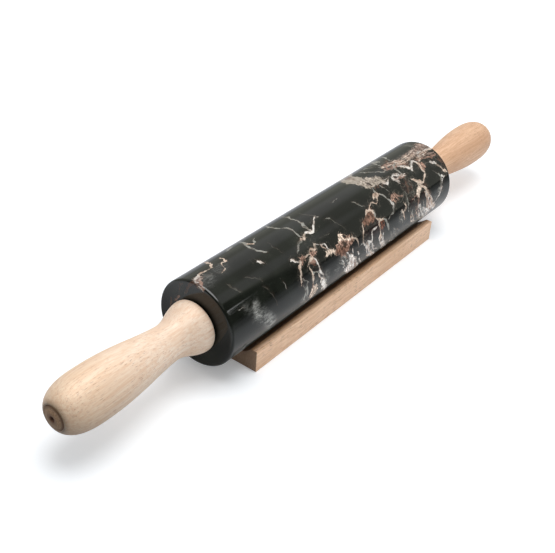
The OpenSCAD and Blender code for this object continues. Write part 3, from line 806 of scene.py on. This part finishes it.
def steel_material(name, along):
    """Turned steel with fine tool marks round the X axis, finer for a greater along."""
    material, board = new_board(name)
    place = board.place()
    marks = board.noise(place, (along, 120.0, 120.0), 3.0, 0.6)
    grime = board.noise(place, 300.0, 4.0, 0.6)
    body = board.mix(board.range(grime, 0.35, 0.75), linear(STEEL), linear(STEEL_DULL))
    close_board(board, Base_Color=body, Metallic=1.0, Roughness=board.range(marks, 0.3, 0.7, 0.22, 0.42),
                Normal=board.bump(marks, 0.2, 0.00005))
    return material


def nylon_material(name, tint):
    """Machined nylon: off-white, with faint tool marks."""
    material, board = new_board(name)
    place = board.place()
    marks = board.noise(place, (900.0, 90.0, 90.0), 3.0, 0.5)
    cloud = board.noise(place, 120.0, 3.0)
    dull = [part * 0.88 for part in tint]
    body = board.mix(board.range(cloud, 0.3, 0.75), linear(tint), linear(dull))
    close_board(board, Base_Color=body, Roughness=board.range(marks, 0.3, 0.7, 0.38, 0.52), IOR=1.53,
                Normal=board.bump(marks, 0.15, 0.00005))
    return material


# Meshes

def add_object(name, data):
    added = bpy.data.objects.new(name, data)
    bpy.context.scene.collection.objects.link(added)
    return added


def finish_piece(bm, name, material, body, nodes, sharp=math.radians(38)):
    """Turns bm into a piece that rides on body and stands for nodes, which it hides."""
    same_place = 1e-7
    bmesh.ops.remove_doubles(bm, verts=bm.verts, dist=same_place)
    bmesh.ops.recalc_face_normals(bm, faces=bm.faces)
    for face in bm.faces:
        face.smooth = True
    for edge in bm.edges:
        if edge.is_manifold and edge.calc_face_angle(0.0) > sharp:
            edge.smooth = False
    mesh = bpy.data.meshes.new(name)
    bm.to_mesh(mesh)
    bm.free()
    mesh.materials.append(material)
    piece = add_object(name, mesh)
    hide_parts(*nodes)
    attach(piece, body)
    return piece


def spun(outline, steps, closed):
    """A bmesh turned about the barrel's axis from an outline of points (x, radius)."""
    bm = bmesh.new()
    verts = [bm.verts.new((x, 0.0, AXIS_Z + r)) for x, r in outline]
    for first, second in zip(verts, verts[1:]):
        bm.edges.new((first, second))
    if closed:
        bm.edges.new((verts[-1], verts[0]))
    bmesh.ops.spin(bm, geom=bm.verts[:] + bm.edges[:], cent=AXIS_POINT, axis=(1, 0, 0),
                   angle=math.tau, steps=steps, use_merge=True)
    return bm


def even_steps(start, end, pitch):
    """Evenly spaced numbers from start to end, no further apart than pitch."""
    return np.linspace(start, end, max(2, math.ceil(abs(end - start) / pitch) + 1)).tolist()


def arc(x, r, radius, start, end, steps):
    """Points (x, radius) on a circle of that radius about (x, r), between two angles in degrees."""
    angles = np.radians(np.linspace(start, end, steps + 1))
    return [(x + radius * math.cos(a), r + radius * math.sin(a)) for a in angles]


# Veins

def on_girth(points):
    """Points (x, angle) in millimetres along the barrel and round its girth."""
    flat = np.array(points, float)
    flat[:, 1] = np.radians(flat[:, 1]) * BARREL_R / MM
    return flat


def eased_route(points, parts=3):
    """A route with its corners rounded, by a curve through its points."""
    if len(points) < 3:
        return points
    ends = np.vstack([2 * points[0] - points[1], points, 2 * points[-1] - points[-2]])
    rounded = []
    for i in range(1, len(ends) - 2):
        before, here, ahead, after = ends[i - 1:i + 3]
        slope = ahead - before
        bend = 2 * before - 5 * here + 4 * ahead - after
        twist = 3 * (here - ahead) + after - before
        for t in np.arange(parts) / parts:
            rounded.append(here + 0.5 * t * (slope + t * (bend + t * twist)))
    return np.array(rounded + [points[-1]])


def segments(points):
    return zip(points[:-1], points[1:])


def offsets(places, start, end, girth):
    """Distance and side of each place from one straight stretch, and how far along it is."""
    to = places - start
    to[:, 1] = (to[:, 1] + girth / 2) % girth - girth / 2
    run = end - start
    along = np.clip(to @ run / max(run @ run, 1e-9), 0, 1)
    away = to - along[:, None] * run
    side = np.where(run[0] * to[:, 1] - run[1] * to[:, 0] < 0, -1.0, 1.0)
    return np.hypot(away[:, 0], away[:, 1]), side, along


def near_route(places, points, girth, reach):
    """Which places lie within reach of the box round some points."""
    low, high = points.min(0), points.max(0)
    middle, half = (low + high) / 2, (high - low) / 2
    close = np.flatnonzero(np.abs(places[:, 0] - middle[0]) < reach + half[0])
    turn = np.abs(places[close, 1] - middle[1]) % girth
    return close[np.minimum(turn, girth - turn) < reach + half[1]]


# How wide a vein's ends are beside its first and last widths
ENDS_TAPER = 0.4


def vein_fields(places, veins, girth, reach):
    """For each place: the signed and plain distance to its vein, and the vein's half width and tone."""
    count = len(places)
    line = np.full(count, reach)
    near = np.full(count, reach)
    half = np.full(count, 0.1)
    tint = np.zeros((count, 4))
    score = np.full(count, reach)
    for vein in veins:
        points = eased_route(on_girth(vein.route))
        chosen = near_route(places, points, girth, reach)
        spread = np.linspace(0, 1, len(points))
        widths = np.interp(spread, np.linspace(0, 1, len(vein.widths)), vein.widths) / 2
        widths[[0, -1]] *= ENDS_TAPER
        tone = (*linear(VEIN_TONES[vein.tone]), VEIN_STRENGTH.get(vein.tone, 1.0))
        for i, (start, end) in enumerate(segments(points)):
            away, side, along = offsets(places[chosen], start, end, girth)
            width = widths[i] + (widths[i + 1] - widths[i]) * along
            better = away - width < score[chosen]
            hit = chosen[better]
            score[hit] = (away - width)[better]
            line[hit] = (away * side)[better]
            near[hit] = away[better]
            half[hit] = width[better]
            tint[hit] = tone
    return line, near, half, tint


def patch_fields(places, patches, girth, reach):
    """For each place: how deep it lies in the nearest patch, negative outside, and that patch's tone."""
    depth = np.full(len(places), -reach)
    tint = np.zeros((len(places), 4))
    for patch in patches:
        outline = on_girth(patch.outline)
        middle = outline.mean(0)
        across = outline[:, 0].max() - outline[:, 0].min()
        chosen = np.flatnonzero(np.abs(places[:, 0] - middle[0]) < across / 2 + reach)
        local = places[chosen] - middle
        local[:, 1] = (local[:, 1] + girth / 2) % girth - girth / 2
        inside = np.zeros(len(chosen), bool)
        nearest = np.full(len(chosen), reach)
        ring = np.vstack([outline, outline[:1]]) - middle
        for start, end in segments(ring):
            away, _, _ = offsets(local, start, end, girth)
            nearest = np.minimum(nearest, away)
            crosses = (start[1] > local[:, 1]) != (end[1] > local[:, 1])
            level = (local[:, 1] - start[1]) / (end[1] - start[1] + 1e-9)
            inside ^= crosses & (local[:, 0] < start[0] + level * (end[0] - start[0]))
        signed = np.where(inside, nearest, -nearest)
        # a later patch covers an earlier one
        over = chosen[inside | (signed > depth[chosen])]
        depth[chosen] = np.maximum(depth[chosen], signed)
        tint[over] = (*linear(VEIN_TONES[patch.tone]), patch.solid)
    return depth, tint


def cloud_field(places, clouds, girth):
    """How strong the pale haze is at each place."""
    haze = np.zeros(len(places))
    for cloud in clouds:
        for start, end in segments(eased_route(on_girth(cloud.route))):
            away, _, _ = offsets(places, start, end, girth)
            haze = np.maximum(haze, cloud.strength * np.exp(-(away / cloud.width) ** 2))
    return haze


def wobble(points, rng, wavelength, size):
    """A smooth random shift of each point, by a few crossing waves."""
    waves = 7
    shift = np.zeros((len(points), 2))
    for axis in range(2):
        for _ in range(waves):
            direction = rng.normal(size=3)
            direction /= np.linalg.norm(direction)
            pace = math.tau / (wavelength * rng.uniform(0.7, 1.5))
            shift[:, axis] += np.sin(points @ direction * pace + rng.uniform(0, math.tau))
    return shift * size / math.sqrt(waves)


# The back's pattern is the front's, a little shorter, shifted along and turned over
BACK_SCALE = 0.93
BACK_SHIFT = -6
BACK_TURN = 282


def on_back(pieces):
    """The same veins, patches or bundles on the back of the barrel."""
    turned = []
    for piece in pieces:
        route = tuple((BACK_SCALE * x + BACK_SHIFT, BACK_TURN - turn) for x, turn in piece[-1])
        turned.append(piece._replace(**{piece._fields[-1]: route}))
    return tuple(turned)


def strands(bundle, rng):
    """The thin veins of a bundle: each follows a part of its route, to one side, and drifts across it."""
    route = eased_route(on_girth(bundle.route), 4)
    spread = np.linspace(0, 1, len(route))
    run = np.gradient(route, axis=0)
    across = np.column_stack([-run[:, 1], run[:, 0]]) / np.hypot(run[:, 0], run[:, 1])[:, None]
    veins = []
    for _ in range(bundle.count):
        first = rng.uniform(-0.2, 0.6)
        places = np.clip(np.linspace(first, first + rng.uniform(0.35, 0.8), 7), 0, 1)
        shift = bundle.spread * (rng.uniform(-1, 1) + rng.normal(0, 0.5) * (places - places[0])
                                 + rng.normal(0, 0.04, len(places)))
        points = [np.interp(places, spread, route[:, i]) + shift * np.interp(places, spread, across[:, i])
                  for i in range(2)]
        turns = np.degrees(points[1] * MM / BARREL_R)
        widths = (rng.uniform(0.2, 0.5), rng.uniform(0.4, 1.2), rng.uniform(0.2, 0.6))
        veins.append(Vein(str(rng.choice(bundle.tones)), widths, tuple(zip(points[0], turns))))
    return tuple(veins)


def store(mesh, name, kind, values):
    attribute = mesh.attributes.new(name, kind, "POINT")
    key = "color" if kind == "FLOAT_COLOR" else "value"
    attribute.data.foreach_set(key, np.ascontiguousarray(values, np.float32).ravel())


def paint_veins(mesh, seed):
    """Stores the veins, patches and clouds on the mesh's points for the stone's material."""
    points = np.zeros(len(mesh.vertices) * 3, np.float32)
    mesh.vertices.foreach_get("co", points)
    points = points.reshape(-1, 3).astype(float) / MM
    height = points[:, 2] - AXIS_Z / MM
    radius = np.hypot(points[:, 1], height)
    outer, end = BARREL_R / MM, END_X / MM
    girth = math.tau * outer
    # on an end face a place is carried on past the rim by its depth below it
    on_end = np.abs(points[:, 0]) > end - 2
    beyond = np.where(on_end, np.clip(outer - radius, 0, None), 0)
    along = points[:, 0] + np.sign(points[:, 0]) * beyond
    around = np.arctan2(height, -points[:, 1]) * outer
    rng = np.random.default_rng(seed)
    places = np.column_stack([along, around])
    # the veins wobble slowly and quickly
    places += wobble(points, rng, 9.0, 0.45) + wobble(points, rng, 4.0, 0.38)
    veins = LEFT_VEINS + NEST_VEINS + MIDDLE_VEINS + RIGHT_VEINS
    veins += on_back(NEST_VEINS + MIDDLE_VEINS + RIGHT_VEINS)
    for bundle in BUNDLES + UNDER_BUNDLES + on_back(BUNDLES[1:]):
        veins += strands(bundle, rng)
    # beyond reach of its line, a vein or patch doesn't matter
    reach = 6.0
    line, near, half, tint = vein_fields(places, veins, girth, reach)
    store(mesh, "vein_line", "FLOAT", line)
    store(mesh, "vein_near", "FLOAT", near)
    store(mesh, "vein_half", "FLOAT", half)
    store(mesh, "vein_tint", "FLOAT_COLOR", tint)
    depth, tint = patch_fields(places, PATCHES + on_back(PATCHES[1:]), girth, reach)
    store(mesh, "patch_depth", "FLOAT", depth)
    store(mesh, "patch_tint", "FLOAT_COLOR", tint)
    store(mesh, "haze", "FLOAT", cloud_field(places, CLOUDS, girth))
    # hairlines are rare at the left end and common from the middle on
    store(mesh, "web", "FLOAT", np.interp(points[:, 0], (-110, -50, 10), (0.15, 0.7, 1.0)))


class ROLLING_PIN_OT_marble_barrel(Operator):
    """Turn the marble barrel with its bore and bearing seats, and lay the veins on it"""

    bl_idname = "rolling_pin.marble_barrel"
    bl_label = "Marble barrel"

    def execute(self, context):
        s = context.scene.pin_barrel
        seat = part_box("left_bearing")
        seat_depth = seat[1].x - seat[0].x
        flange_r = (seat[1].z - seat[0].z) / 2
        edge = s.edge_radius
        flange_x, seat_x = -END_X + s.flange_depth, -END_X + seat_depth
        inner = [(flange_x, flange_r + FIT), (flange_x, s.sleeve_radius + FIT),
                 (seat_x, s.sleeve_radius + FIT), (seat_x, s.bore_radius)]
        face = [(-END_X, r) for r in even_steps(flange_r + FIT, BARREL_R - edge, s.mesh_pitch)]
        corner = arc(-END_X + edge, BARREL_R - edge, edge, 180, 90, 6)
        half = inner[::-1] + face + corner[1:]
        side = [(x, BARREL_R) for x in even_steps(-END_X + edge, END_X - edge, s.mesh_pitch)]
        outline = half + side[1:-1] + [(-x, r) for x, r in half[::-1]]
        bm = spun(outline, round(math.tau * BARREL_R / s.mesh_pitch), closed=True)
        piece = finish_piece(bm, "marble_barrel_veined", marble_material(s), "barrel",
                             ["marble_barrel"])
        paint_veins(piece.data, s.seed)
        return {"FINISHED"}


def ease(t):
    return (1 - math.cos(math.pi * t)) / 2


def handle_outline(s, root_gap, root_r, nose_end, plug_r):
    """Points (distance from the marble, radius) round a handle, from its root to the plug's pocket."""
    corner = [(s.root_corner + root_gap + x, r)
              for x, r in arc(0, root_r - s.root_corner, s.root_corner, 180, 90, 8)]
    flare_from = root_gap + s.root_corner
    swell_power, nose_power, steps = 0.8, 2.8, 36
    flare = [(flare_from + (s.neck_at - flare_from) * t, root_r - (root_r - s.neck_radius) * ease(t))
             for t in np.linspace(0, 1, steps)[1:]]
    swell = [(s.neck_at + (s.belly_at - s.neck_at) * t,
              s.neck_radius + (s.belly_radius - s.neck_radius) * ease(t ** swell_power))
             for t in np.linspace(0, 1, steps)[1:]]
    nose_length = s.reach - s.belly_at
    stop = math.asin(((nose_end - s.belly_at) / nose_length) ** (nose_power / 2))
    nose = [(s.belly_at + nose_length * math.sin(a) ** (2 / nose_power),
             s.belly_radius * math.cos(a) ** (2 / nose_power))
            for a in np.linspace(0, stop, steps)[1:]]
    lip = 0.4 * MM
    inside = [(nose_end - lip, plug_r + FIT), (s.pocket_floor, plug_r + FIT),
              (s.pocket_floor, s.rod_hole_radius), (s.washer_depth, s.rod_hole_radius),
              (s.washer_depth, s.washer_radius), (root_gap, s.washer_radius)]
    return corner + flare + swell + nose + [(nose_end, plug_r + lip)] + inside


class ROLLING_PIN_OT_handles(Operator):
    """Turn the two beech handles"""

    bl_idname = "rolling_pin.handles"
    bl_label = "Handles"

    def execute(self, context):
        s = context.scene.pin_handles
        low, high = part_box("right_handle")
        outline = handle_outline(s, low.x - END_X, (high.z - low.z) / 2, high.x - END_X,
                                 context.scene.pin_plugs.radius)
        for side, sign, light, late, contrast, seed, tone_and_painted_light in (
                ("left", -1, s.beech, s.beech_deep, 1.0, 0.0, LEFT_TONE_AND_PAINTED_LIGHT),
                ("right", 1, s.rosy_beech, s.rosy_beech_deep, 1.3, 0.37, None)):
            bm = spun([(sign * (END_X + x), r) for x, r in outline], 128, closed=True)
            wood = wood_material(f"beech_{side}_handle", light, late, s.fleck, s.end_grain,
                                 rough=(0.38, 0.50), contrast=contrast, seed=seed, tone_and_painted_light=tone_and_painted_light)
            finish_piece(bm, f"{side}_handle_turned", wood, "axle_and_handles", [f"{side}_handle"])
        return {"FINISHED"}


class ROLLING_PIN_OT_end_plugs(Operator):
    """Turn the round plug, with its rounded rim and its dimple, that closes each handle's nose"""

    bl_idname = "rolling_pin.end_plugs"
    bl_label = "End plugs"

    def execute(self, context):
        s = context.scene.pin_plugs
        low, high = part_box("right_end_plug")
        start, tip = low.x, high.x
        rim, crown = 0.9 * MM, 0.7 * MM
        flat_r = s.dimple_radius + 1 * MM
        face = tip - crown
        outline = [(start, 0), (start, s.radius)]
        outline += arc(face - rim, s.radius - rim, rim, 90, 0, 6)
        outline += [(face + crown * ease(t), s.radius - rim - (s.radius - rim - flat_r) * t)
                    for t in (0.15, 0.3, 0.45, 0.6, 0.75, 0.9)]
        outline += [(tip, flat_r - 0.3 * MM), (tip - 0.1 * MM, s.dimple_radius)]
        outline += [(tip - s.dimple_depth * (1 - (1 - t) ** 2), s.dimple_radius * (1 - t) ** 0.7)
                    for t in (0.3, 0.55, 0.8, 1.0)]
        wood = plug_material(s)
        for side, sign in (("left", -1), ("right", 1)):
            bm = spun([(sign * x, r) for x, r in outline], 64, closed=False)
            finish_piece(bm, f"{side}_end_plug_turned", wood, "axle_and_handles", [f"{side}_end_plug"])
        return {"FINISHED"}


class ROLLING_PIN_OT_cradle(Operator):
    """Cut the cradle: one length of beech with a curved trough"""

    bl_idname = "rolling_pin.cradle"
    bl_label = "Cradle"

    def execute(self, context):
        s = context.scene.pin_cradle
        low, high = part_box("cradle")
        rise = s.trough_floor + s.trough_radius - high.z
        reach = math.acos(rise / s.trough_radius)
        centre = Vector((low.x, 0, s.trough_floor + s.trough_radius))
        bm = bmesh.new()
        rim = bm.verts.new(centre + Vector((0, -s.trough_radius * math.sin(reach), -rise)))
        bmesh.ops.spin(bm, geom=[rim], cent=centre, axis=(1, 0, 0), angle=2 * reach, steps=48)
        corners = [bm.verts.new((low.x, y, z)) for y, z in
                   ((high.y, high.z), (high.y, 0), (low.y, 0), (low.y, high.z))]
        bm.verts.ensure_lookup_table()
        trough = sorted((v for v in bm.verts if v not in corners), key=lambda v: v.co.y)
        section = bm.faces.new(trough + corners)
        swept = bmesh.ops.extrude_face_region(bm, geom=[section])
        moved = [g for g in swept["geom"] if isinstance(g, bmesh.types.BMVert)]
        bmesh.ops.translate(bm, verts=moved, vec=(high.x - low.x, 0, 0))
        bmesh.ops.recalc_face_normals(bm, faces=bm.faces)
        hard = [e for e in bm.edges if e.calc_face_angle(0.0) > math.radians(30)]
        bmesh.ops.bevel(bm, geom=hard, offset=s.edge * 0.5, offset_type="OFFSET", affect="EDGES",
                        segments=3, profile=0.5, material=-1, clamp_overlap=True)
        # the cradle's wood gets painted shade in and beside the trough
        wood = wood_material("beech_cradle", s.wood, s.wood_deep, s.fleck, s.end_grain,
                             contrast=1.3, coarse=1.2, seed=0.81,
                             trough=(s.trough_radius * math.sin(reach), high.y))
        finish_piece(bm, "cradle_troughed", wood, "cradle", ["cradle"],
                     sharp=math.radians(60))
        return {"FINISHED"}


class ROLLING_PIN_OT_fittings(Operator):
    """Finish the steel and nylon pieces inside the pin"""

    bl_idname = "rolling_pin.fittings"
    bl_label = "Inner fittings"

    def execute(self, context):
        rod = steel_material("steel_turned_rod", 2400.0)
        fasteners = steel_material("steel_zinc_fasteners", 700.0)
        bearing = nylon_material("nylon_bearing", (0.90, 0.88, 0.80))
        washer = nylon_material("nylon_washer", (0.93, 0.92, 0.89))
        finishes = {"axle_rod": rod}
        for side in ("left", "right"):
            finishes[f"{side}_bearing"] = bearing
            finishes[f"{side}_thrust_washer"] = washer
            finishes[f"{side}_nut_washer"] = fasteners
            finishes[f"{side}_nut"] = fasteners
        for node, material in finishes.items():
            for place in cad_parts[node].material_slots:
                place.material = material
        return {"FINISHED"}


def heading(turn, rise):
    """The direction at a turn from +X towards +Y and a rise above the floor, both in degrees."""
    turn, rise = math.radians(turn), math.radians(rise)
    return (math.cos(turn) * math.cos(rise), math.sin(turn) * math.cos(rise), math.sin(rise))


# Where the light comes from: the bright side of the sky, the soft fill and the overhead lamp
BRIGHT_SIDE = heading(66, 21)
FRONT = heading(-50, 10)
LAMP_PLACE = 1.2 * Vector(heading(-90, 86))

# A round light that shows in the polish: turn, rise, radius and softness in degrees, and strength
Glow = namedtuple("Glow", "turn rise radius softness strength")
SOFT_PANELS = (
    Glow(0, 90, 24, 8, 6.5),
    Glow(36, 40, 10, 12, 0.8),
    Glow(-29, 43, 3, 10, 0.8),
)
# A narrow lamp, as a row of spots
SMALL_LAMP = (
    Glow(-50.2, 17.5, 0.3, 0.5, 9.0),
    Glow(-49.2, 20.6, 0.4, 0.5, 12.0),
    Glow(-48.1, 23.4, 0.5, 0.5, 12.0),
    Glow(-46.6, 23.7, 0.2, 1.0, 4.0),
)
# The even room in the polish, and a dark room beyond the plane with this normal, up to this rise
ROOM_LEVEL = 0.50
ROOM_TINT = (1.0, 1.015, 0.89)
DARK_ROOM = (-0.713, -0.670, 0.206)
DARK_ROOM_TOP = 0.64
DARK_ROOM_LEVEL = 0.03


def with_glow(board, direction, level, glow):
    """level with one round light over it."""
    facing = board.vector("DOT_PRODUCT", direction, heading(glow.turn, glow.rise))
    inside = math.cos(math.radians(glow.radius))
    outside = math.cos(math.radians(glow.radius + glow.softness))
    return board.toward(board.range(facing, outside, inside), level, glow.strength)


def polish_reflection(board, direction):
    """What the polish mirrors: an even pale room, soft panels, and a dark room with a small lamp."""
    level = ROOM_LEVEL
    for panel in SOFT_PANELS:
        level = with_glow(board, direction, level, panel)
    beyond = board.range(board.vector("DOT_PRODUCT", direction, DARK_ROOM), -0.03, 0.02)
    below = board.range(board.parts(direction)["Z"], DARK_ROOM_TOP - 0.05, DARK_ROOM_TOP + 0.02, 1.0, 0.0)
    level = board.toward(board.times(beyond, below), level, DARK_ROOM_LEVEL)
    for spot in SMALL_LAMP:
        level = with_glow(board, direction, level, spot)
    return level


def studio_world(s):
    """White to the camera, a soft bright sky for the light, and a pale room with panels in the polish."""
    world = bpy.data.worlds.new("studio")
    bpy.context.scene.world = world
    world.use_nodes = True
    board = Board(world.node_tree)
    rays = board.rays()
    direction = board.add("ShaderNodeTexCoord").outputs["Generated"]
    sky = board.range(board.vector("DOT_PRODUCT", direction, BRIGHT_SIDE), 0.09, 0.90, 0.0, s.sky)
    fill = board.range(board.vector("DOT_PRODUCT", direction, FRONT), -0.4, 0.6, 0.12, s.fill)
    polish_level = polish_reflection(board, direction)
    level = board.toward(rays["Is Glossy Ray"], board.greater(sky, fill), polish_level)
    level = board.toward(board.greater(rays["Is Camera Ray"], rays["Is Transmission Ray"]), level, 1.0)
    # the even room is tinted, and its lights are white
    plain = board.times(rays["Is Glossy Ray"], board.range(polish_level, 0.4, 1.0, 1.0, 0.0))
    tint = board.mix(plain, (1.0, 1.0, 1.0), ROOM_TINT)
    board.close(board.add("ShaderNodeBackground", {"Color": tint, "Strength": level}), "World")


def floor_in_polish(board, place):
    """How much of the floor's brightness the polish mirrors, by the place on the floor."""
    in_front = board.range(place["Y"], -0.075, -0.19, 0.76, 0.32)
    far_front = board.range(place["Y"], -0.20, -0.60, 1.0, 0.45)
    behind = board.range(place["Y"], -0.03, 0.03, 1.0, 0.75)
    # darker at the near end, as the end face shows it, and brighter again past it
    near_end = board.range(place["X"], -0.128, -0.140, 1.0, 0.72)
    past_end = board.range(place["X"], -0.150, -0.205, 1.0, 2.6)
    return board.times(in_front, far_front, behind, board.times(near_end, past_end))


def floor_material(s):
    """Matt pale floor: white to the camera but for the object's shadow, and faded in the polish."""
    material, board = new_board("pale_floor")
    place = board.parts(board.place())
    rays = board.rays()
    shown = board.toward(rays["Is Glossy Ray"], 1.0, floor_in_polish(board, place))
    # less light comes back from under the near handle's belly
    under_belly = board.range(place["X"], -0.17, -0.21, 0.0, 0.88)
    shown = board.times(shown, board.minus(1.0, board.times(rays["Is Diffuse Ray"], under_belly)))
    pale = board.mix(shown, (0.0, 0.0, 0.0), linear(s.floor))
    # the lift brings the floor to white a little way out from the shadow
    far = board.hypotenuse(place["X"], place["Y"])
    lift = board.maths("ADD", board.range(far, 0.14, 0.20, 0.18, 0.205),
                       board.range(far, 0.27, 1.0, 0.0, 0.7))
    glow = board.add("ShaderNodeEmission", {"Color": (1.0, 1.0, 1.0),
                                            "Strength": board.times(rays["Is Camera Ray"], lift)})
    matt = board.add("ShaderNodeBsdfDiffuse", {"Color": pale})
    board.close(board.add("ShaderNodeAddShader", {0: matt.outputs[0], 1: glow.outputs[0]}))
    return material


def add_camera(s):
    camera_data = bpy.data.cameras.new("camera")
    camera_data.lens = s.lens
    camera_data.sensor_width = 36.0
    camera = add_object("camera", camera_data)
    quarter = math.pi / 2
    camera.matrix_world = (Matrix.Translation(s.camera_place)
                           @ Matrix.Rotation(s.camera_heading - quarter, 4, "Z")
                           @ Matrix.Rotation(quarter - s.camera_dip, 4, "X")
                           @ Matrix.Rotation(s.camera_roll, 4, "Z"))
    bpy.context.scene.camera = camera


def add_floor(s):
    half_width = 6.0
    bm = bmesh.new()
    bmesh.ops.create_grid(bm, x_segments=1, y_segments=1, size=half_width)
    mesh = bpy.data.meshes.new("floor")
    bm.to_mesh(mesh)
    bm.free()
    mesh.materials.append(floor_material(s))
    floor = add_object("floor", mesh)


def add_lamp(s):
    """The round overhead lamp, which faces the object and doesn't show in the polish."""
    lamp_data = bpy.data.lights.new("overhead_lamp", "AREA")
    lamp_data.shape = "DISK"
    lamp_data.size = s.lamp_size
    lamp_data.energy = s.lamp
    lamp = add_object("overhead_lamp", lamp_data)
    lamp.visible_glossy = False
    lamp.matrix_world = (Matrix.Translation(LAMP_PLACE)
                         @ LAMP_PLACE.to_track_quat("Z", "Y").to_matrix().to_4x4())


class ROLLING_PIN_OT_studio(Operator):
    """Set up the camera, the pale floor, the surroundings and the soft overhead lamp"""

    bl_idname = "rolling_pin.studio"
    bl_label = "Studio"

    def execute(self, context):
        s = context.scene.pin_studio
        add_camera(s)
        add_floor(s)
        add_lamp(s)
        studio_world(s)
        context.scene.view_settings.view_transform = "Standard"
        return {"FINISHED"}


class VIEW3D_PT_rolling_pin(Panel):
    """Buttons that build the rolling pin, piece by piece"""

    bl_label = "Rolling Pin"
    bl_space_type = "VIEW_3D"
    bl_region_type = "UI"
    bl_category = "Rolling Pin"

    def draw(self, context):
        for operator, group in STEPS:
            box = self.layout.box()
            box.operator(f"rolling_pin.{operator}")
            values = getattr(context.scene, group, None)
            for name in values.__annotations__ if values else ():
                box.prop(values, name)


# Each operator in the order of building, with its group of settings
STEPS = (
    ("studio", "pin_studio"),
    ("marble_barrel", "pin_barrel"),
    ("handles", "pin_handles"),
    ("end_plugs", "pin_plugs"),
    ("cradle", "pin_cradle"),
    ("fittings", ""),
)

GROUPS = {
    "pin_barrel": BarrelSettings,
    "pin_handles": HandleSettings,
    "pin_plugs": PlugSettings,
    "pin_cradle": CradleSettings,
    "pin_studio": StudioSettings,
}

CLASSES = (
    *GROUPS.values(),
    ROLLING_PIN_OT_studio,
    ROLLING_PIN_OT_marble_barrel,
    ROLLING_PIN_OT_handles,
    ROLLING_PIN_OT_end_plugs,
    ROLLING_PIN_OT_cradle,
    ROLLING_PIN_OT_fittings,
    VIEW3D_PT_rolling_pin,
)


def register():
    for cls in CLASSES:
        bpy.utils.register_class(cls)
    for name, group in GROUPS.items():
        setattr(bpy.types.Scene, name, PointerProperty(type=group))


def unregister():
    for name in GROUPS:
        delattr(bpy.types.Scene, name)
    for cls in reversed(CLASSES):
        bpy.utils.unregister_class(cls)


def main():
    register()
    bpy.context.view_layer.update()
    for operator, _ in STEPS:
        getattr(bpy.ops.rolling_pin, operator)()


if __name__ == "__main__":
    main()
